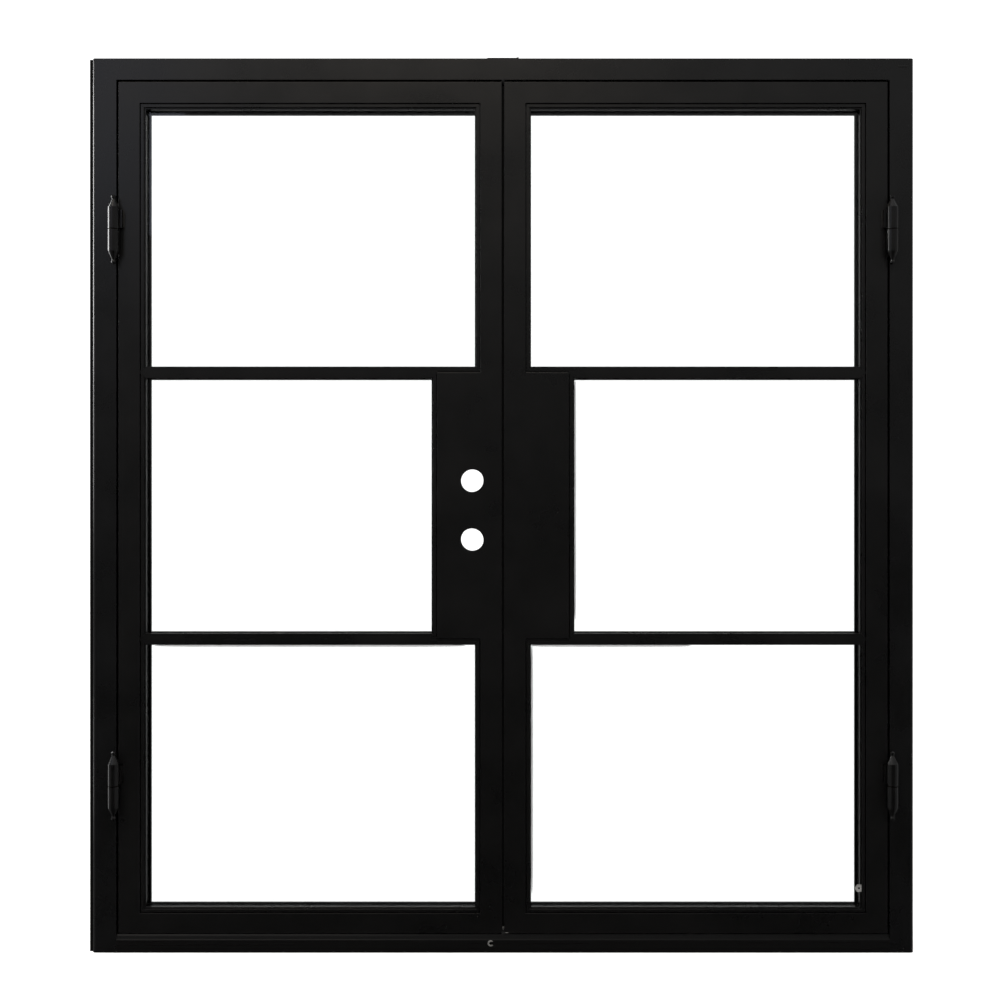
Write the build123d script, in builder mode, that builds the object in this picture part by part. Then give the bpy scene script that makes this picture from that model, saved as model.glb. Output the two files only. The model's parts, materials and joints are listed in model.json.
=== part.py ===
from build123d import *
import os

os.makedirs("parts", exist_ok=True)

# A pair of glazed steel doors in their own frame, in millimetres.
# The origin is the middle of the sill's underside, at half the depth of the frame.
# The side that is seen faces -Y, +X is to the right and +Z is up.

# The frame: two jambs that run to the floor, a head between them and a sill
frame_width = 1930.0
frame_height = 2100.0
frame_depth = 150.0
jamb_face = 57.0
head_face = 50.0
frame_wall = 3.0
jamb_nose_radius = 8.0
corner_radius = 0.8

# The stops that the closed leaves meet, and the rubber seal on them
stop_reach = 20.0
stop_wall = 2.5
seal_space = 8.0
seal_width = 10.0
seal_slack = 0.4
seal_nose_radius = 4.0

# The strip that packs the left jamb against the wall
packing_width = 8.0
packing_depth = 10.0
packing_setback = 9.0

# The sill: a bevelled nose, a flat tread under the leaves and a hollow upstand behind them
tread_height = 42.0
nose_drop = 12.0
nose_run = 4.5
upstand_height = 60.0
upstand_width = 22.0
sill_back_height = 24.0
sill_edge_radius = 1.5
weep_radius = 3.2
weep_rim_radius = 5.0
weep_x = -30.5
weep_height = 21.0

# The leaves: tubes with a rear fin that the glass is bedded against
leaf_depth = 50.0
edge_gap = 5.0
meeting_gap = 6.0
sweep_space = 3.0
stile_face = 50.0
bottom_rail_face = 47.5
leaf_wall = 3.0
fin_reach = 14.0
bar_fin_reach = 11.0
fin_depth = 6.0

# The cross bars: a thin web between two beads, with a flange at the back
web_thickness = 5.0
web_recess = 1.5
lower_bar_height = 736.0
upper_bar_drop = 682.0

# The lock box between the cross bars, bored for a lock in the left leaf
lock_width = 152.0
lock_bore_radius = 27.0
lock_backset = 70.0
latch_bore_height = 969.0
lock_bore_spacing = 140.0
edge_bore_radius = 12.7
strike_height = 57.0
strike_width = 16.0

# The glazing beads: a stepped moulding, cut to mitres
bead_width = 13.0
bead_recess = 1.5
bead_back = 15.0
bead_band = 9.5
bead_step = 3.6
bead_radius = 0.9
bar_bead_width = 11.0
bar_bead_radius = 0.4
bead_groove = 2.2
bead_groove_depth = 8.0
bead_joint = 0.2

# The sealed glass units, their bedding tape and the blocks they stand on
glass_thickness = 5.0
glass_margin = 5.0
tape_thickness = 2.0
tape_width = 5.0
spacer_width = 5.0
block_length = 80.0
block_inset = 110.0

# The lift-off hinges: a barrel in two halves with a turned cone at each end
hinge_low_rise = 351.0
hinge_high_drop = 350.5
hinge_out = 1.0
barrel_radius = 13.5
barrel_clear = 1.0
barrel_length = 50.5
cone_length = 18.5
neck_radius = 4.6
neck_length = 2.2
button_radius = 6.0
button_length = 8.0
button_edge = 2.4
pin_radius = 7.0
pin_depth = 42.0
pin_edge = 1.0
pin_press = 0.01
pin_running = 0.05
pin_end_room = 1.0
washer_thickness = 2.0
washer_slack = 0.05
washer_inset = 1.6
foot_start = 9.5
foot_width = 8.0
foot_root = 3.0
foot_inset = 4.0

# The sliding bolts in the right leaf's meeting stile
bolt_radius = 6.0
bolt_running = 0.05
bolt_length = 330.0
bolt_tip_drop = 1.0
bolt_edge = 1.5
top_throw = 18.0
bottom_throw = 28.0
thumb_width = 8.0
thumb_height = 24.0
thumb_recess = 0.6
thumb_slack = 0.4
keeper_bore_radius = 6.5
keeper_radius = 9.0
keeper_flange_radius = 12.0
keeper_flange = 1.5
keeper_length = 11.0

# Rubber along the bottom and the meeting edge of the leaves
sweep_thickness = 8.0
sweep_start = 34.0
sweep_inset = 8.0
sweep_slack = 0.5
meeting_seal_slack = 0.05
meeting_seal_depth = 6.0
meeting_seal_start = 6.0

# Fixings: holes through the jambs, and a strap on the head
fixing_radius = 4.5
fixing_end_inset = 250.0
inner_fixing_spacing = 600.0
strap_width = 74.0
strap_length = 60.0
strap_inset = 4.0
strap_thickness = 3.0
strap_lip = 7.0
strap_rise = 1.7
strap_hole_spacing = 34.0

# The small clip on the bead of the right leaf's lowest pane
clip_size = 17.0
clip_thickness = 1.6
clip_hole_radius = 2.6
clip_hole_shift = 2.5
clip_shoulder = 2.0
clip_height = 150.0
clip_corner = 0.8
clip_slack = 0.3

# Every cut runs past the piece by this much
overrun = 2.0

front = -frame_depth / 2
back = frame_depth / 2
half_width = frame_width / 2
rebate_x = half_width - jamb_face
stop_x = rebate_x - stop_reach
head_under = frame_height - head_face
stop_front = front + leaf_depth + seal_space
leaf_back = front + leaf_depth
leaf_middle = front + leaf_depth / 2
leaf_bottom = tread_height + sweep_space
leaf_top = head_under - edge_gap
leaf_height = leaf_top - leaf_bottom
leaf_middle_height = (leaf_bottom + leaf_top) / 2
hinge_edge = rebate_x - edge_gap
meeting_edge = meeting_gap / 2
leaf_width = hinge_edge - meeting_edge
leaf_centre = (hinge_edge + meeting_edge) / 2
hinge_x = rebate_x + hinge_out
hinge_y = front - barrel_radius - barrel_clear
hinge_low_height = leaf_bottom + hinge_low_rise
hinge_high_height = leaf_top - hinge_high_drop
fin_front = leaf_back - fin_depth
upper_bar_height = leaf_top - upper_bar_drop
lower_web_top = lower_bar_height + web_thickness / 2
upper_web_under = upper_bar_height - web_thickness / 2
lock_x = meeting_edge + lock_backset
lock_bore_heights = (latch_bore_height, latch_bore_height + lock_bore_spacing)
bolt_x = meeting_edge + stile_face / 2
fixing_mid_height = frame_height / 2
outer_fixing_spacing = frame_height - 2 * fixing_end_inset
sides = (("left", -1), ("right", 1))
stile_size = (stile_face, fin_reach)
bottom_rail_size = (bottom_rail_face, bar_fin_reach)
square_end = (0, 0)


def keep(piece, name):
    """Name one finished piece and write its file."""
    piece.part.label = name
    export_step(piece.part, f"parts/{name}.step")


def section_plane(origin, along):
    """The plane of a bar's cross section: depth runs to the right on it, and the bar's inner side is up."""
    return Plane(origin=origin, x_dir=(0, 1, 0), z_dir=along)


def mitre_plane(origin, along):
    """The plane behind a bar in which its end cuts are drawn, with its length to the right."""
    behind = Plane(origin=origin, x_dir=along, z_dir=(0, -1, 0))
    return behind.offset(-leaf_depth - overrun)


def leaf_tube(origin, along, span, size, low_next, high_next):
    """A hollow tube with the rear glazing fin, each end mitred to the tube it meets there or cut square."""
    face, fin = size
    start, end = (low_next, high_next) if sum(along) > 0 else (high_next, low_next)
    with BuildPart() as tube:
        with BuildSketch(section_plane(origin, along)):
            with Locations((leaf_depth / 2, face / 2)):
                RectangleRounded(leaf_depth, face, corner_radius)
                Rectangle(leaf_depth - 2 * leaf_wall, face - 2 * leaf_wall, mode=Mode.SUBTRACT)
            with Locations((leaf_depth, face - leaf_wall)):
                Rectangle(fin_depth, fin + leaf_wall, align=(Align.MAX, Align.MIN))
        extrude(amount=span / 2, both=True)
        with BuildSketch(mitre_plane(origin, along)):
            with BuildLine():
                Polyline(
                    (-span / 2, 0),
                    (span / 2, 0),
                    (span / 2 - end[0], face),
                    (span / 2 - sum(end), face + fin),
                    (-span / 2 + sum(start), face + fin),
                    (-span / 2 + start[0], face),
                    close=True,
                )
            make_face()
        extrude(amount=leaf_depth + 2 * overrun, mode=Mode.INTERSECT)
    return tube


def bead_bar(origin, along, span, width, low_next, high_next):
    """One length of glazing bead, mitred to the widths of the beads that it meets.

    Beside a tube it is stepped, with a shadow groove along the tube. Beside a cross bar it is narrower and plain.
    """
    step_depth = bead_recess + bead_step
    groove_depth = bead_recess + bead_groove_depth
    with BuildPart() as bar:
        with BuildSketch(section_plane(origin, along)) as profile:
            with Locations((bead_recess, 0)):
                Rectangle(bead_back - bead_recess, width, align=(Align.MIN, Align.MIN))
            if width == bar_bead_width:
                fillet(profile.vertices().group_by(Axis.Y)[-1].sort_by(Axis.X)[0], bar_bead_radius)
            else:
                with Locations((step_depth, bead_band)):
                    Rectangle(step_depth, width, align=(Align.MAX, Align.MIN), mode=Mode.SUBTRACT)
                band_corner = profile.vertices().group_by(Axis.X)[0].sort_by(Axis.Y)[-1]
                inner_corner = profile.vertices().group_by(Axis.Y)[-1].sort_by(Axis.X)[0]
                fillet([band_corner, inner_corner], bead_radius)
                with Locations((groove_depth, bead_groove)):
                    Rectangle(groove_depth, 2 * bead_groove, align=(Align.MAX, Align.MAX), mode=Mode.SUBTRACT)
        extrude(amount=span / 2, both=True)
        with BuildSketch(mitre_plane(origin, along)):
            with BuildLine():
                Polyline(
                    (-span / 2 + bead_joint, 0),
                    (span / 2 - bead_joint, 0),
                    (span / 2 - bead_joint - high_next, width),
                    (-span / 2 + bead_joint + low_next, width),
                    close=True,
                )
            make_face()
        extrude(amount=leaf_depth + 2 * overrun, mode=Mode.INTERSECT)
    return bar


def pane_openings(sign):
    """The clear openings between tubes and webs, low to high, as left, right, bottom and top."""
    hinge_side = sign * (hinge_edge - stile_face)
    stile_side = sign * (meeting_edge + stile_face)
    lock_side = sign * (meeting_edge + lock_width)
    wide = sorted((hinge_side, stile_side))
    narrow = sorted((hinge_side, lock_side))
    return (
        ("lower", *wide, leaf_bottom + bottom_rail_face, lower_bar_height - web_thickness / 2),
        ("middle", *narrow, lower_web_top, upper_web_under),
        ("upper", *wide, upper_bar_height + web_thickness / 2, leaf_top - stile_face),
    )


def ring(openings, depths, thickness, outer_margin, width):
    """A thin rectangular ring in each opening at each depth."""
    with BuildPart() as rings:
        for _, low_x, high_x, low_z, high_z in openings:
            wide = high_x - low_x - 2 * outer_margin
            high = high_z - low_z - 2 * outer_margin
            for depth in depths:
                plane = Plane(
                    origin=((low_x + high_x) / 2, depth, (low_z + high_z) / 2),
                    x_dir=(1, 0, 0),
                    z_dir=(0, 1, 0),
                )
                with BuildSketch(plane):
                    Rectangle(wide, high)
                    Rectangle(wide - 2 * width, high - 2 * width, mode=Mode.SUBTRACT)
                extrude(amount=thickness)
    return rings


def knuckle(x, height, side_sign, up):
    """One half of a hinge: the barrel with its turned end, bored for the pin, and the foot it is welded by."""
    bore = pin_radius + (pin_running if up > 0 else pin_press)
    bore_end = pin_depth + (pin_end_room if up > 0 else 0)
    start = washer_thickness / 2 + washer_slack
    cone_start = start + barrel_length
    cone_end = cone_start + cone_length
    button_start = cone_end + neck_length
    end = button_start + button_length
    with BuildPart() as half:
        with BuildSketch(Plane(origin=(x, hinge_y, height), x_dir=(1, 0, 0), z_dir=(0, -1, 0))):
            with BuildLine():
                Polyline(
                    (bore, up * start),
                    (barrel_radius, up * start),
                    (barrel_radius, up * cone_start),
                    (neck_radius, up * cone_end),
                    (neck_radius, up * button_start),
                    (button_radius - button_edge / 2, up * button_start),
                    (button_radius, up * (button_start + button_edge)),
                    (button_radius, up * (end - button_edge)),
                    (button_radius - button_edge, up * end),
                    (0, up * end),
                    (0, up * bore_end),
                    (bore, up * bore_end),
                    close=True,
                )
            make_face()
        revolve(axis=Axis((x, hinge_y, height), (0, 0, 1)))
        with BuildSketch(Plane.XY.offset(height + up * (start + foot_inset))):
            foot_x = x + side_sign * (foot_start + foot_width / 2)
            with Locations((foot_x, (hinge_y + foot_root + front) / 2)):
                Rectangle(foot_width, front - hinge_y - foot_root)
        extrude(amount=up * (barrel_length - 2 * foot_inset))
    return half


# Jambs: hollow tubes with a rounded outer front edge, ground flush where the head and the sill meet them
for side, sign in sides:
    jamb_middle = sign * (half_width - jamb_face / 2)
    with BuildPart() as jamb:
        with BuildSketch() as jamb_outline:
            with Locations((jamb_middle, 0)):
                Rectangle(jamb_face, frame_depth)
            front_corners = jamb_outline.vertices().group_by(Axis.Y)[0]
            nose = front_corners.sort_by(Axis.X)[0 if sign < 0 else -1]
            fillet(nose, jamb_nose_radius)
            back_corners = jamb_outline.vertices().group_by(Axis.Y)[-1]
            fillet(back_corners.sort_by(Axis.X)[0 if sign < 0 else -1], corner_radius)
        extrude(amount=frame_height)
        with BuildSketch() as jamb_hollow:
            with Locations((jamb_middle, 0)):
                Rectangle(jamb_face - 2 * frame_wall, frame_depth - 2 * frame_wall)
            hollow_front = jamb_hollow.vertices().group_by(Axis.Y)[0]
            fillet(hollow_front.sort_by(Axis.X)[0 if sign < 0 else -1], jamb_nose_radius - frame_wall)
        extrude(amount=frame_height - frame_wall, mode=Mode.SUBTRACT)
        for spacing in (outer_fixing_spacing, inner_fixing_spacing):
            for height in (fixing_mid_height - spacing / 2, fixing_mid_height + spacing / 2):
                with Locations((jamb_middle, leaf_middle, height)):
                    Cylinder(
                        fixing_radius,
                        jamb_face + 2 * overrun,
                        rotation=(0, 90, 0),
                        mode=Mode.SUBTRACT,
                    )
    keep(jamb, f"jamb_{side}")

# Head: a hollow tube between the jambs, drilled for the strap and bored for the top bolt's keeper
with BuildPart() as head:
    with BuildSketch(Plane.YZ):
        with Locations((0, head_under + head_face / 2)):
            Rectangle(frame_depth, head_face)
            Rectangle(frame_depth - 2 * frame_wall, head_face - 2 * frame_wall, mode=Mode.SUBTRACT)
    extrude(amount=rebate_x, both=True)
    for offset_x in (-strap_hole_spacing / 2, strap_hole_spacing / 2):
        with Locations((offset_x, leaf_middle, head_under + head_face / 2)):
            Cylinder(fixing_radius, head_face + 2 * overrun, mode=Mode.SUBTRACT)
    with BuildSketch(Plane.XY.offset(head_under - overrun)):
        with Locations((bolt_x, leaf_middle)):
            Circle(keeper_flange_radius)
    extrude(amount=keeper_flange + overrun, mode=Mode.SUBTRACT)
    with BuildSketch(Plane.XY.offset(head_under - overrun)):
        with Locations((bolt_x, leaf_middle)):
            Circle(keeper_radius)
    extrude(amount=frame_wall + 2 * overrun, mode=Mode.SUBTRACT)
keep(head, "head")

# Stops: smaller tubes welded to the jambs and the head behind the leaves
for side, sign in sides:
    with BuildPart() as side_stop:
        with BuildSketch():
            with Locations((sign * (rebate_x - stop_reach / 2), (stop_front + back) / 2)):
                Rectangle(stop_reach, back - stop_front)
                Rectangle(stop_reach - 2 * stop_wall, back - stop_front - 2 * stop_wall, mode=Mode.SUBTRACT)
        extrude(amount=head_under)
    keep(side_stop, f"stop_{side}")

with BuildPart() as head_stop:
    with BuildSketch(Plane.YZ):
        with Locations(((stop_front + back) / 2, head_under - stop_reach / 2)):
            Rectangle(back - stop_front, stop_reach)
            Rectangle(back - stop_front - 2 * stop_wall, stop_reach - 2 * stop_wall, mode=Mode.SUBTRACT)
    extrude(amount=stop_x, both=True)
keep(head_stop, "stop_head")

# Sill: a hollow section, notched at both ends round the side stops
with BuildPart() as sill:
    with BuildSketch(Plane.YZ) as sill_profile:
        with BuildLine():
            Polyline(
                (front, 0),
                (front, tread_height - nose_drop),
                (front + nose_run, tread_height),
                (stop_front, tread_height),
                (stop_front, upstand_height),
                (stop_front + upstand_width, upstand_height),
                (back, sill_back_height),
                (back, 0),
                close=True,
            )
        make_face()
        offset(amount=-frame_wall, kind=Kind.INTERSECTION, mode=Mode.SUBTRACT)
        shown = sill_profile.vertices().filter_by_position(Axis.Y, tread_height - nose_drop, upstand_height)
        fillet(shown.sort_by(Axis.X)[0], sill_edge_radius)
    extrude(amount=rebate_x, both=True)
    for sign in (-1, 1):
        with Locations((sign * (rebate_x - stop_reach / 2), (stop_front + back) / 2, upstand_height / 2)):
            Box(
                stop_reach,
                back - stop_front,
                upstand_height + 2 * overrun,
                mode=Mode.SUBTRACT,
            )
    with BuildSketch(Plane.XY.offset(tread_height + overrun)):
        with Locations((bolt_x, leaf_middle)):
            Circle(keeper_flange_radius)
    extrude(amount=-keeper_flange - overrun, mode=Mode.SUBTRACT)
    with BuildSketch(Plane.XY.offset(tread_height + overrun)):
        with Locations((bolt_x, leaf_middle)):
            Circle(keeper_radius)
    extrude(amount=-frame_wall - 2 * overrun, mode=Mode.SUBTRACT)
    with BuildSketch(Plane(origin=(weep_x, front, weep_height), z_dir=(0, 1, 0))):
        Circle(weep_rim_radius)
    with BuildSketch(Plane(origin=(weep_x, front + frame_wall, weep_height), z_dir=(0, 1, 0))):
        Circle(weep_radius)
    loft(mode=Mode.SUBTRACT)
keep(sill, "sill")

# Rubber seal: a rounded strip on the front of each stop and of the sill's upstand
seal_depth = seal_space - seal_slack
seal_x = (hinge_edge + stop_x) / 2
seal_top = (leaf_top + head_under - stop_reach) / 2
seal_low = (leaf_bottom + upstand_height) / 2
with BuildPart() as frame_seal:
    for sign in (-1, 1):
        with BuildSketch(Plane.XY.offset(leaf_bottom)) as strip:
            with Locations((sign * seal_x, stop_front - seal_depth / 2)):
                Rectangle(seal_width, seal_depth)
            fillet(strip.vertices().group_by(Axis.Y)[0], seal_nose_radius)
        extrude(amount=seal_top - seal_width / 2 - seal_slack - leaf_bottom)
    for height, half_length in ((seal_top, seal_x + seal_width / 2), (seal_low, stop_x)):
        with BuildSketch(Plane.YZ) as strip:
            with Locations((stop_front - seal_depth / 2, height)):
                Rectangle(seal_depth, seal_width)
            fillet(strip.vertices().group_by(Axis.X)[0], seal_nose_radius)
        extrude(amount=half_length, both=True)

    # The packing strip on the outer side of the left jamb shows as a dark edge beside the rounded nose
    with BuildSketch():
        with Locations((-half_width, front + packing_setback)):
            Rectangle(packing_width, packing_depth, align=(Align.MAX, Align.MIN))
    extrude(amount=frame_height)
keep(frame_seal, "frame_seal")

# Strap: the fixing plate on top of the head, with one end curled up
with BuildPart() as strap:
    with BuildSketch(Plane.XZ.offset(-front - strap_inset)):
        with BuildLine():
            Polyline(
                (-strap_width / 2, frame_height),
                (strap_width / 2 - strap_lip, frame_height),
                (strap_width / 2, frame_height + strap_rise),
                (strap_width / 2, frame_height + strap_rise + strap_thickness),
                (strap_width / 2 - strap_lip, frame_height + strap_thickness),
                (-strap_width / 2, frame_height + strap_thickness),
                close=True,
            )
        make_face()
    extrude(amount=-strap_length)
    for offset_x in (-strap_hole_spacing / 2, strap_hole_spacing / 2):
        with Locations((offset_x, leaf_middle, frame_height)):
            Cylinder(fixing_radius, 2 * (strap_thickness + overrun), mode=Mode.SUBTRACT)
keep(strap, "head_strap")

# Hinges: the lower half on the jamb, the upper half on the leaf, a pin and a washer in each
hinge_places = [
    (side, sign, level, height)
    for side, sign in sides
    for level, height in (("low", hinge_low_height), ("high", hinge_high_height))
]
for side, sign, level, height in hinge_places:
    keep(knuckle(sign * hinge_x, height, sign, -1), f"hinge_{level}_{side}_frame_half")
    keep(knuckle(sign * hinge_x, height, -sign, 1), f"hinge_{level}_{side}_leaf_half")

with BuildPart() as hinge_pins:
    for side, sign, level, height in hinge_places:
        with BuildSketch(Plane(origin=(sign * hinge_x, hinge_y, height), x_dir=(1, 0, 0), z_dir=(0, -1, 0))):
            with BuildLine():
                Polyline(
                    (0, -pin_depth),
                    (pin_radius, -pin_depth),
                    (pin_radius, pin_depth - pin_edge),
                    (pin_radius - pin_edge, pin_depth),
                    (0, pin_depth),
                    close=True,
                )
            make_face()
        revolve(axis=Axis((sign * hinge_x, hinge_y, height), (0, 0, 1)))
keep(hinge_pins, "hinge_pins")

with BuildPart() as hinge_washers:
    for side, sign, level, height in hinge_places:
        with BuildSketch(Plane.XY.offset(height - washer_thickness / 2 - washer_slack)):
            with Locations((sign * hinge_x, hinge_y)):
                Circle(barrel_radius - washer_inset)
                Circle(pin_radius + pin_running, mode=Mode.SUBTRACT)
        extrude(amount=washer_thickness)
keep(hinge_washers, "hinge_washers")

# Keepers: flanged bushes in the head and the sill that the bolts run into
with BuildPart() as bolt_keepers:
    for level, up in ((head_under, 1), (tread_height, -1)):
        with BuildSketch(Plane.XY.offset(level)):
            with Locations((bolt_x, leaf_middle)):
                Circle(keeper_flange_radius)
                Circle(keeper_bore_radius, mode=Mode.SUBTRACT)
        extrude(amount=up * keeper_flange)
        with BuildSketch(Plane.XY.offset(level)):
            with Locations((bolt_x, leaf_middle)):
                Circle(keeper_radius)
                Circle(keeper_bore_radius, mode=Mode.SUBTRACT)
        extrude(amount=up * keeper_length)
keep(bolt_keepers, "bolt_keepers")

# The two leaves: a mitred tube frame, cross bars, the lock box, glass and beads
for side, sign in sides:
    stile_origin = (sign * hinge_edge, front, leaf_middle_height)
    hinge_stile = leaf_tube(
        stile_origin, (0, 0, sign), leaf_height, stile_size, bottom_rail_size, stile_size
    )
    keep(hinge_stile, f"{side}_hinge_stile")

    # The meeting stile is two lengths, below and above the lock box
    low_span = lower_web_top - leaf_bottom
    high_span = leaf_top - upper_web_under
    low_origin = (sign * meeting_edge, front, leaf_bottom + low_span / 2)
    high_origin = (sign * meeting_edge, front, leaf_top - high_span / 2)
    bottom_origin = (sign * leaf_centre, front, leaf_bottom)
    top_origin = (sign * leaf_centre, front, leaf_top)
    low_stile = leaf_tube(low_origin, (0, 0, -sign), low_span, stile_size, bottom_rail_size, square_end)
    high_stile = leaf_tube(high_origin, (0, 0, -sign), high_span, stile_size, square_end, stile_size)
    bottom_rail = leaf_tube(bottom_origin, (1, 0, 0), leaf_width, bottom_rail_size, stile_size, stile_size)
    top_rail = leaf_tube(top_origin, (-1, 0, 0), leaf_width, stile_size, stile_size, stile_size)

    # In the right leaf the rails are bored for the bolts, and the stiles slotted for their thumb pieces
    if side == "right":
        for rail, level in ((bottom_rail, leaf_bottom), (top_rail, leaf_top)):
            with rail:
                with Locations((bolt_x, leaf_middle, level)):
                    Cylinder(bolt_radius + bolt_running, 2 * (leaf_wall + overrun), mode=Mode.SUBTRACT)
        thumb_low = leaf_bottom + bolt_tip_drop + bolt_length - thumb_height
        thumb_high = leaf_top - bolt_tip_drop - bolt_length
        low_slot = (low_stile, thumb_low - bottom_throw, thumb_low + thumb_height)
        high_slot = (high_stile, thumb_high, thumb_high + thumb_height + top_throw)
        for stile, slot_low, slot_high in (low_slot, high_slot):
            with stile:
                with Locations((meeting_edge, leaf_middle, (slot_low + slot_high) / 2)):
                    Box(
                        2 * (leaf_wall + overrun),
                        thumb_width + 2 * thumb_slack,
                        slot_high - slot_low + 2 * thumb_slack,
                        mode=Mode.SUBTRACT,
                    )
    keep(low_stile, f"{side}_low_meeting_stile")
    keep(high_stile, f"{side}_high_meeting_stile")
    keep(bottom_rail, f"{side}_bottom_rail")
    keep(top_rail, f"{side}_top_rail")

    # Cross bars: the web passes in front of the stiles' fins, the flange fits between them
    clear_width = leaf_width - 2 * stile_face
    flange_width = clear_width - 2 * fin_reach
    inner_flange_end = meeting_edge + lock_width
    inner_flange_start = hinge_edge - stile_face - fin_reach
    for level, bar_height, inner in (("lower", lower_bar_height, 1), ("upper", upper_bar_height, -1)):
        with BuildPart() as cross_bar:
            with BuildSketch(Plane.YZ.offset(sign * leaf_centre)):
                with Locations((front + web_recess, bar_height)):
                    Rectangle(
                        leaf_depth - web_recess - fin_depth,
                        web_thickness,
                        align=(Align.MIN, Align.CENTER),
                    )
            extrude(amount=clear_width / 2, both=True)
            with BuildSketch(Plane.YZ.offset(sign * leaf_centre)):
                with Locations((leaf_back - fin_depth / 2, bar_height - inner * bar_fin_reach / 2)):
                    Rectangle(fin_depth, web_thickness + bar_fin_reach)
            extrude(amount=flange_width / 2, both=True)
            with BuildSketch(Plane.YZ.offset(sign * (inner_flange_start + inner_flange_end) / 2)):
                flange_height = bar_height + inner * (web_thickness + bar_fin_reach) / 2
                with Locations((leaf_back - fin_depth / 2, flange_height)):
                    Rectangle(fin_depth, bar_fin_reach)
            extrude(amount=(inner_flange_start - inner_flange_end) / 2, both=True)
        keep(cross_bar, f"{side}_{level}_cross_bar")

    # Lock box: a hollow panel flush with the stile, with its own fin towards the pane
    with BuildPart() as lock_box:
        with BuildSketch(Plane.XY.offset(lower_web_top)):
            with Locations((sign * (meeting_edge + lock_width / 2), leaf_middle)):
                RectangleRounded(lock_width, leaf_depth, corner_radius)
                Rectangle(lock_width - 2 * leaf_wall, leaf_depth - 2 * leaf_wall, mode=Mode.SUBTRACT)
        extrude(amount=upper_web_under - lower_web_top)
        with BuildSketch(Plane.XY.offset(lower_web_top + bar_fin_reach)):
            with Locations((sign * (meeting_edge + lock_width + fin_reach / 2 - leaf_wall / 2), leaf_back)):
                Rectangle(fin_reach + leaf_wall, fin_depth, align=(Align.CENTER, Align.MAX))
        extrude(amount=upper_web_under - lower_web_top - 2 * bar_fin_reach)
        for height in lock_bore_heights:
            if side == "left":
                with Locations((sign * lock_x, leaf_middle, height)):
                    Cylinder(
                        lock_bore_radius,
                        leaf_depth + 2 * overrun,
                        rotation=(90, 0, 0),
                        mode=Mode.SUBTRACT,
                    )
                with Locations((sign * meeting_edge, leaf_middle, height)):
                    Cylinder(
                        edge_bore_radius,
                        2 * (leaf_wall + overrun),
                        rotation=(0, 90, 0),
                        mode=Mode.SUBTRACT,
                    )
            else:
                with BuildSketch(Plane.YZ.offset(meeting_edge - overrun)):
                    with Locations((leaf_middle, height)):
                        SlotOverall(strike_height, strike_width, rotation=90)
                extrude(amount=leaf_wall + 2 * overrun, mode=Mode.SUBTRACT)
    keep(lock_box, f"{side}_lock_box")

    # Glass: two sheets in each opening, with the bead in front of them
    unit_front = front + bead_back + tape_thickness
    unit_back = fin_front - tape_thickness
    openings = pane_openings(sign)
    for level, low_x, high_x, low_z, high_z in openings:
        centre_x = (low_x + high_x) / 2
        centre_z = (low_z + high_z) / 2
        with BuildPart() as glass:
            for sheet in (unit_front + glass_thickness / 2, unit_back - glass_thickness / 2):
                with Locations((centre_x, sheet, centre_z)):
                    Box(
                        high_x - low_x - 2 * glass_margin,
                        glass_thickness,
                        high_z - low_z - 2 * glass_margin,
                    )
        keep(glass, f"{side}_{level}_glass")

        # Beside a cross bar the bead lies flush with the web, so that the bar shows one flat face
        below = bead_width if level == "lower" else bar_bead_width
        above = bead_width if level == "upper" else bar_bead_width
        wide = high_x - low_x
        tall = high_z - low_z
        bars = [
            bead_bar((centre_x, front, low_z), (1, 0, 0), wide, below, bead_width, bead_width),
            bead_bar((centre_x, front, high_z), (-1, 0, 0), wide, above, bead_width, bead_width),
            bead_bar((low_x, front, centre_z), (0, 0, -1), tall, bead_width, above, below),
            bead_bar((high_x, front, centre_z), (0, 0, 1), tall, bead_width, below, above),
        ]
        with BuildPart() as beads:
            for bar in bars:
                add(bar.part)
        keep(beads, f"{side}_{level}_bead")

    spacers = ring(
        openings,
        [unit_front + glass_thickness],
        unit_back - unit_front - 2 * glass_thickness,
        glass_margin,
        spacer_width,
    )
    keep(spacers, f"{side}_glass_spacers")
    tapes = ring(
        openings, [unit_front - tape_thickness, unit_back], tape_thickness, glass_margin, tape_width
    )
    keep(tapes, f"{side}_glazing_tape")

    # Setting blocks: two under each unit
    with BuildPart() as blocks:
        for level, low_x, high_x, low_z, high_z in openings:
            for block_x in (low_x + block_inset, high_x - block_inset):
                with Locations((block_x, (unit_front + unit_back) / 2, low_z + glass_margin / 2)):
                    Box(block_length, unit_back - unit_front, glass_margin)
    keep(blocks, f"{side}_setting_blocks")

    # Sweep: a rubber strip under the bottom rail that clears the tread
    with BuildPart() as sweep_strip:
        with BuildSketch(Plane.YZ.offset(sign * leaf_centre)):
            with Locations((front + sweep_start + sweep_thickness / 2, leaf_bottom)):
                Rectangle(sweep_thickness, sweep_space - sweep_slack, align=(Align.CENTER, Align.MAX))
        extrude(amount=leaf_width / 2 - sweep_inset, both=True)
    keep(sweep_strip, f"{side}_bottom_sweep")

# Meeting seal: a rubber fin along the right leaf's meeting edge
with BuildPart() as meeting_seal:
    with BuildSketch(Plane.XY.offset(leaf_bottom + sweep_inset)):
        with Locations((meeting_edge, front + meeting_seal_start)):
            Rectangle(meeting_gap - meeting_seal_slack, meeting_seal_depth, align=(Align.MAX, Align.MIN))
    extrude(amount=leaf_height - 2 * sweep_inset)
keep(meeting_seal, "meeting_seal")

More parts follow.
